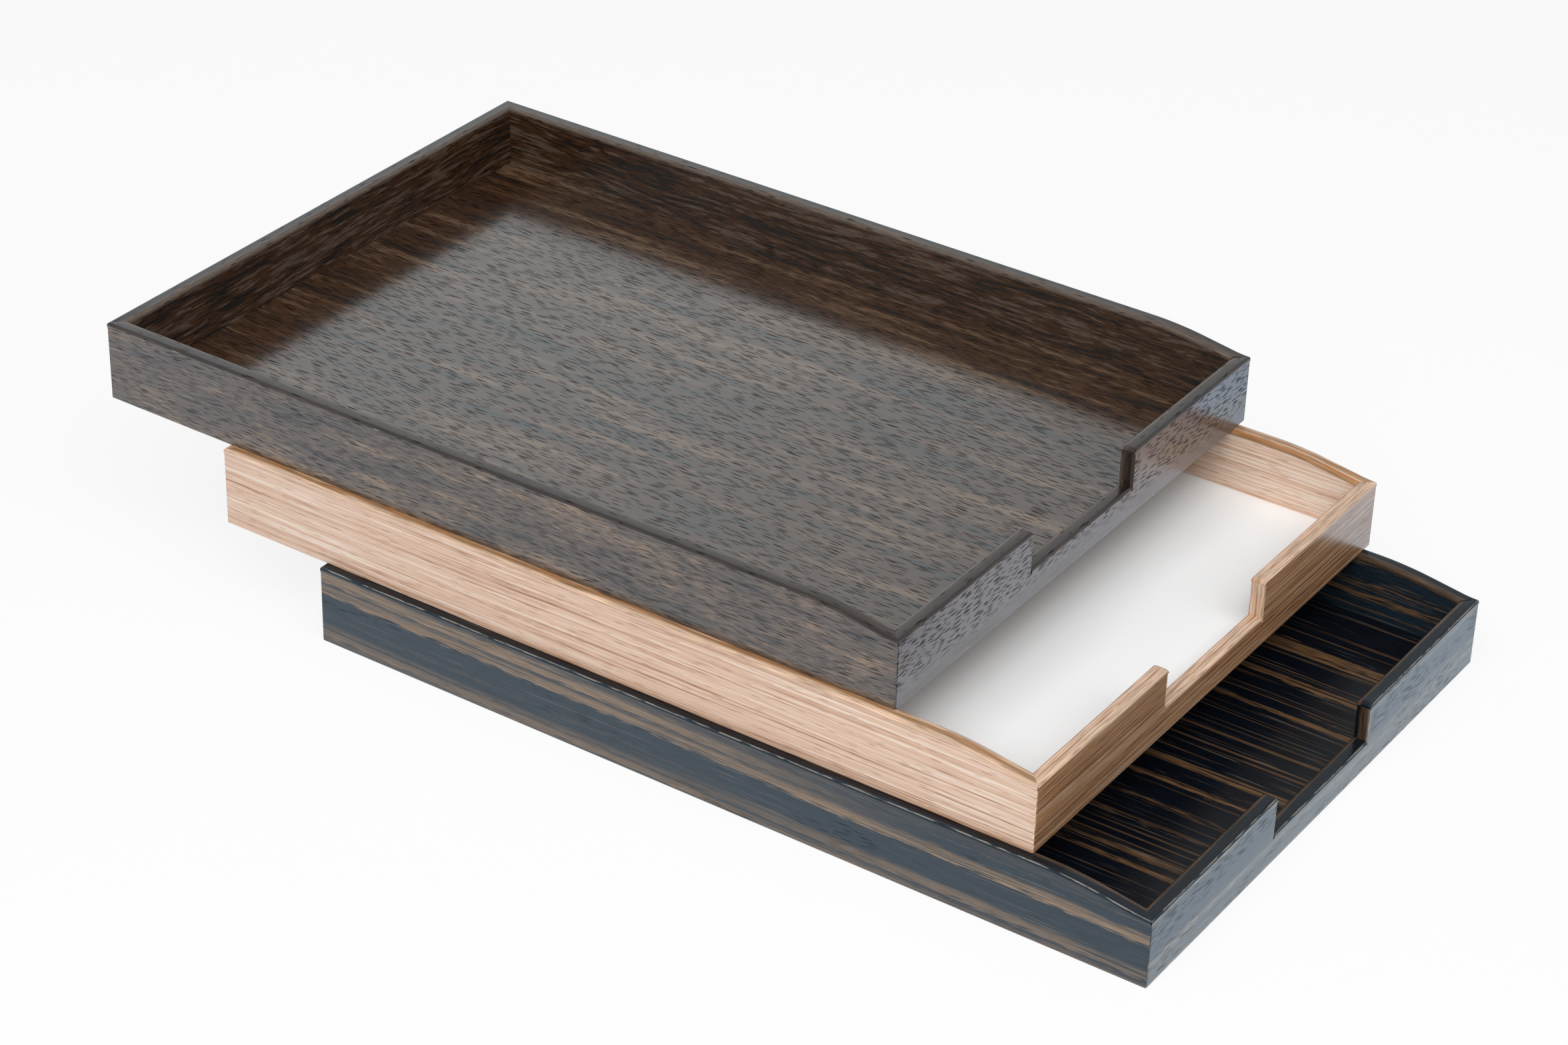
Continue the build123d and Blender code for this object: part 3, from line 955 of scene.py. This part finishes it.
def level_lines(low, high):
    """Straight lipping: its underside and its top are level."""
    return lambda along: (np.full_like(along, low), np.full_like(along, high))


def side_lines(tray):
    """Side rim, seen from the side: level front corner, eased slope, level back.

    The top is made of two curves. One leaves the front height by an arc and rises at the slope's
    angle, the other falls from the back height the same way, and they meet half way up the slope.
    The underside lies a lipping's thickness below, square to the top, and is set a hair into the
    board, so that their seam is closed.
    """
    settings = bpy.context.scene.tray_lipping
    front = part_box(f"{tray}_front_rim_left")[1].z
    back_low, back_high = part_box(f"{tray}_back_rim")
    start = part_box(f"{tray}_front_wall")[0].y
    drop, depth = back_high.z - front, back_high.z - back_low.z
    tangent = drop / settings.slope_run
    angle = math.atan(tangent)
    slope = math.hypot(drop, settings.slope_run)
    foot, crest = settings.foot_share * slope, settings.crest_share * slope
    crest_end = start + foot + settings.slope_run + crest
    half_way = start + foot + settings.slope_run / 2

    def rise(way, half_arc):
        """Height gained after way: along an arc of that half length, then up the slope."""
        radius = half_arc / math.tan(angle / 2)
        arc_run = radius * math.sin(angle)
        on_arc = np.clip(way, 0, arc_run)
        arc = radius - np.sqrt(radius**2 - on_arc**2)
        return arc + np.maximum(way - arc_run, 0) * tangent

    def lines(along):
        rising = front + rise(along - start, foot)
        falling = back_high.z - rise(crest_end - along, crest)
        top = np.where(along < half_way, rising, falling)
        steepness = np.gradient(top, axis=0) / np.gradient(along, axis=0)
        return top - depth * np.sqrt(1 + steepness**2) - SEAM_OVERLAP * MM, top

    return lines


def front_lines(tray, end, facing):
    """Front rim: level, with its top rounded off by a quarter circle at the notch."""
    radius = bpy.context.scene.tray_lipping.notch_round
    low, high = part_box(f"{tray}_front_rim_left")

    def lines(along):
        over = np.clip(facing * (along - end) + radius, 0, radius)
        top = high.z - radius + np.sqrt(radius**2 - over**2)
        return np.full_like(along, low.z), top

    return lines


def even_shares(count, ease):
    """Places along a strip as shares of it, with one close to each end for the mitre's ease."""
    return np.concatenate([[0, ease], np.linspace(0, 1, count)[1:-1], [1 - ease, 1]])


# Veneers of a lipping on the front wall, the back wall or the notch's ends, and of its board
END_PARTS = ("end_rim", "end")
BACK_PARTS = ("end_rim", "back")
NOTCH_PARTS = ("notch_rim", "end")

# Places along the lippings: how near to a mitred end the place for its ease lies, on a side or back
# rim and on a front rim, the shares of a side rim's slope and of a front rim's round at the notch,
# and how many places each stretch has
EASE_SHARE, FRONT_EASE_SHARE = 0.001, 0.003
SLOPE_SHARE, ROUND_SHARE = 0.16, 0.03
SLOPE_PLACES, SIDE_PLACES = 60, 20
ROUND_PLACES, FRONT_PLACES = 14, 10
BACK_PLACES, SILL_PLACES, NOTCH_END_PLACES = 14, 8, 4


class SideRims(bpy.types.Operator):
    """Lippings on the side walls, which follow the slope to the front corners"""

    bl_idname = "letter_tray.side_rims"
    bl_label = "Side rims"

    def execute(self, context):
        slope = np.linspace(0, SLOPE_SHARE, SLOPE_PLACES)[1:]
        level = np.linspace(SLOPE_SHARE, 1, SIDE_PLACES)[1:-1]
        shares = np.concatenate([[0, EASE_SHARE], slope, level, [1 - EASE_SHARE, 1]])
        for tray in TRAYS:
            for side, inward, board in (("left", 1, "side"), ("right", -1, "right")):
                lipping(
                    tray, f"{side}_rim", (Y, X, Z), inward, (1, 1), shares, side_lines(tray),
                    ("side_rim", board),
                )
        return {"FINISHED"}


class EndRims(bpy.types.Operator):
    """Lippings on the back wall and on both sides of the finger notch in the front wall"""

    bl_idname = "letter_tray.end_rims"
    bl_label = "Front and back rims"

    def execute(self, context):
        even = even_shares(BACK_PLACES, EASE_SHARE)
        curve = 1 - ROUND_SHARE * (1 - np.sin(np.linspace(0, math.pi / 2, ROUND_PLACES)))
        level = np.linspace(0, 1 - ROUND_SHARE, FRONT_PLACES)[1:-1]
        shares = np.concatenate([[0, FRONT_EASE_SHARE], level, curve])
        for tray in TRAYS:
            low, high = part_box(f"{tray}_back_rim")
            lines = level_lines(low.z, high.z)
            lipping(tray, "back_rim", (X, Y, Z), -1, (1, 1), even, lines, BACK_PARTS)
            left_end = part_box(f"{tray}_front_rim_left")[1].x
            right_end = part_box(f"{tray}_front_rim_right")[0].x
            lipping(
                tray, "front_rim_left", (X, Y, Z), 1, (1, 0), shares,
                front_lines(tray, left_end, 1), END_PARTS,
            )
            lipping(
                tray, "front_rim_right", (X, Y, Z), 1, (0, 1), 1 - shares[::-1],
                front_lines(tray, right_end, -1), END_PARTS,
            )
        return {"FINISHED"}


class NotchLippings(bpy.types.Operator):
    """Lippings round the finger notch: its sill and its two upright ends"""

    bl_idname = "letter_tray.notch_lippings"
    bl_label = "Notch lippings"

    def execute(self, context):
        for tray in TRAYS:
            low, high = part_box(f"{tray}_sill_rim")
            lines = level_lines(low.z, high.z)
            shares = np.linspace(0, 1, SILL_PLACES)
            lipping(tray, "sill_rim", (X, Y, Z), 1, (0, 0), shares, lines, END_PARTS)
            shares = np.linspace(0, 1, NOTCH_END_PLACES)
            for side, outward in (("left", 1), ("right", -1)):
                low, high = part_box(f"{tray}_notch_end_{side}")
                faces = (low.x, high.x)[::outward]
                lipping(
                    tray, f"notch_end_{side}", (Z, Y, X), 1, (0, 0), shares,
                    level_lines(*faces), NOTCH_PARTS,
                )
        return {"FINISHED"}


class Walls(bpy.types.Operator):
    """Veneer on the four walls of each tray"""

    bl_idname = "letter_tray.walls"
    bl_label = "Walls"

    def execute(self, context):
        parts = {"left": "side", "right": "right", "front": "end", "back": "back"}
        for tray in TRAYS:
            for side, part in parts.items():
                dress(f"{tray}_{side}_wall", finish(tray, part))
        return {"FINISHED"}


class Floors(bpy.types.Operator):
    """Facings on the floors of the trays"""

    bl_idname = "letter_tray.floors"
    bl_label = "Floors"

    def execute(self, context):
        for tray in TRAYS:
            dress(f"{tray}_floor_facing", finish(tray, "floor"))
        return {"FINISHED"}


class HiddenBoards(bpy.types.Operator):
    """Base boards, seen from below, and the splines inside the corners"""

    bl_idname = "letter_tray.hidden_boards"
    bl_label = "Base boards and splines"

    def execute(self, context):
        backing, plies = backed_board(), plywood()
        for tray in TRAYS:
            dress(f"{tray}_base_board", backing)
            dress(f"{tray}_corner_splines", plies)
        return {"FINISHED"}


# Stage

# The photograph's camera: where it looks, from how far and from which side
CAMERA_AIM = Vector((-16.02, 43.585, 49.5)) * MM
CAMERA_DISTANCE = 1489.58 * MM
CAMERA_AZIMUTH = math.radians(-56.517)
CAMERA_ELEVATION = math.radians(31.454)
CAMERA_ROLL = math.radians(1.726)
SENSOR_WIDTH = 36.0

# The floor lies this far below the part, in millimetres
FLOOR_GAP = 0.05

# How far the floor turns white for the camera, and the strength of the even light
FLOOR_LIFT = 0.86
SOFT_LIGHT = 0.22
WHITE = (1.0, 1.0, 1.0)

# The mirrored backdrop brightens from this share to full between these ways towards the back, which
# are the Y of a ray's direction
FADE_SHARE = 0.78
FADE_WAYS = (0.38, 0.5)


def direction(azimuth, elevation):
    """Unit vector towards a place at that azimuth, from -Y towards +X, and elevation."""
    level = math.cos(elevation)
    return Vector((level * math.sin(azimuth), -level * math.cos(azimuth), math.sin(elevation)))


def sight(tree):
    """Whether a surface is seen straight, and whether it is seen in a reflection or through glass."""
    path = add(tree, "LightPath")
    rays = {0: path.outputs["Is Glossy Ray"], 1: path.outputs["Is Transmission Ray"]}
    mirrored = add(tree, "Math", rays, operation="MAXIMUM").outputs[0]
    return path.outputs["Is Camera Ray"], mirrored


def studio_floor():
    """Pale studio floor: white to the camera and in reflections, with a faint shadow left."""
    look = bpy.context.scene.tray_stage
    material = new_material("studio_paper")
    tree = material.node_tree
    camera, mirrored = sight(tree)
    paper = add(tree, "BsdfDiffuse", {"Color": look.floor})
    white = add(tree, "Emission", {"Color": WHITE, "Strength": 1.0})
    cool = add(tree, "Emission", {"Color": look.daylight, "Strength": 1.0})
    lift = add(tree, "Math", {0: camera, 1: FLOOR_LIFT}, operation="MULTIPLY").outputs[0]
    lifted = add(tree, "MixShader", {0: lift, 1: paper.outputs[0], 2: white.outputs[0]})
    shown = add(tree, "MixShader", {0: mirrored, 1: lifted.outputs[0], 2: cool.outputs[0]})
    add(tree, "OutputMaterial", {"Surface": shown.outputs[0]})
    return material


def studio_world():
    """Even daylight, with a white background for the camera and a hardly tinted one in reflections.

    The mirrored backdrop is whitest behind the stack and a little greyer on the other sides.
    """
    look = bpy.context.scene.tray_stage
    world = bpy.data.worlds.new("studio")
    world.use_nodes = True
    tree = world.node_tree
    tree.nodes.clear()
    camera, mirrored = sight(tree)
    soft = add(tree, "Background", {"Color": WHITE, "Strength": SOFT_LIGHT})
    white = add(tree, "Background", {"Color": WHITE, "Strength": 1.0})
    towards = add(tree, "TexCoord").outputs["Generated"]
    back = add(tree, "SeparateXYZ", {"Vector": towards}).outputs["Y"]
    low, high = FADE_WAYS
    fading = {"Value": back, "From Min": low, "From Max": high, "To Min": FADE_SHARE}
    fade = add(tree, "MapRange", fading).outputs[0]
    sky = add(tree, "Background", {"Color": look.sky, "Strength": fade})
    seen = add(tree, "MixShader", {0: camera, 1: soft.outputs[0], 2: white.outputs[0]})
    shown = add(tree, "MixShader", {0: mirrored, 1: seen.outputs[0], 2: sky.outputs[0]})
    add(tree, "OutputWorld", {"Surface": shown.outputs[0]})
    return world


# Lamps: name, azimuth and elevation in degrees, distance and side in metres, watts
LAMPS = (
    ("window_left", -76.0, 50.0, 2.4, 2.0, 47.0),
    ("window_front", -14.0, 46.0, 2.4, 1.6, 18.0),
)


def place_floor(scene):
    """A large square floor just below the part."""
    half = scene.tray_stage.floor_side / 2
    level = cad_box[0].z - FLOOR_GAP * MM
    square = [(-half, -half, level), (half, -half, level), (half, half, level), (-half, half, level)]
    sheet = bpy.data.meshes.new("studio_floor")
    sheet.from_pydata(square, [], [(0, 1, 2, 3)])
    sheet.materials.append(studio_floor())
    floor = bpy.data.objects.new("studio_floor", sheet)
    scene.collection.objects.link(floor)


def place_lamps(scene):
    """Square soft lamps that face the middle of the part and aren't mirrored in it."""
    centre = (cad_box[0] + cad_box[1]) / 2
    for name, azimuth, elevation, distance, side, watts in LAMPS:
        lamp = bpy.data.lights.new(name, "AREA")
        lamp.size, lamp.energy = side, watts
        source = bpy.data.objects.new(name, lamp)
        away = direction(math.radians(azimuth), math.radians(elevation))
        source.location = centre + away * distance
        source.rotation_euler = away.to_track_quat("Z", "Y").to_euler()
        source.visible_glossy = False
        scene.collection.objects.link(source)


def place_camera(scene):
    """The photograph's camera, turned about its own axis by the photograph's roll."""
    lens = bpy.data.cameras.new("camera")
    lens.sensor_width, lens.lens = SENSOR_WIDTH, scene.tray_stage.lens / MM
    camera = bpy.data.objects.new("camera", lens)
    back = direction(CAMERA_AZIMUTH, CAMERA_ELEVATION)
    camera.location = CAMERA_AIM + back * CAMERA_DISTANCE
    turn = back.to_track_quat("Z", "Y") @ Quaternion((0, 0, 1), CAMERA_ROLL)
    camera.rotation_euler = turn.to_euler()
    scene.collection.objects.link(camera)
    scene.camera = camera


class Stage(bpy.types.Operator):
    """Plain pale floor, soft light and a camera at the photograph's viewing angle"""

    bl_idname = "letter_tray.stage"
    bl_label = "Stage"

    def execute(self, context):
        place_floor(context.scene)
        context.scene.world = studio_world()
        place_lamps(context.scene)
        place_camera(context.scene)
        context.scene.view_settings.view_transform = "Standard"
        return {"FINISHED"}


OPERATORS = (Walls, Floors, HiddenBoards, SideRims, EndRims, NotchLippings, Stage)


class LetterTrayPanel(bpy.types.Panel):
    """Lists the pieces of the letter trays in the order in which they are made"""

    bl_idname = "VIEW3D_PT_letter_trays"
    bl_label = "Letter trays"
    bl_space_type = "VIEW_3D"
    bl_region_type = "UI"
    bl_category = "Letter trays"

    def draw(self, context):
        for operator in OPERATORS:
            self.layout.operator(operator.bl_idname)
        for name, group in SETTINGS.items():
            box = self.layout.box()
            box.label(text=group.__doc__)
            for prop in group.__annotations__:
                box.prop(getattr(context.scene, name), prop)


CLASSES = (*SETTINGS.values(), *OPERATORS, LetterTrayPanel)


def register():
    """Registers the classes and hangs the settings on the scene."""
    for item in CLASSES:
        bpy.utils.register_class(item)
    for name, group in SETTINGS.items():
        setattr(bpy.types.Scene, name, bpy.props.PointerProperty(type=group))


def unregister():
    """Undoes what register does."""
    for name in SETTINGS:
        delattr(bpy.types.Scene, name)
    for item in reversed(CLASSES):
        bpy.utils.unregister_class(item)


def main():
    """Makes every piece in order."""
    register()
    for operator in OPERATORS:
        family, name = operator.bl_idname.split(".")
        getattr(getattr(bpy.ops, family), name)()


if __name__ == "__main__":
    main()
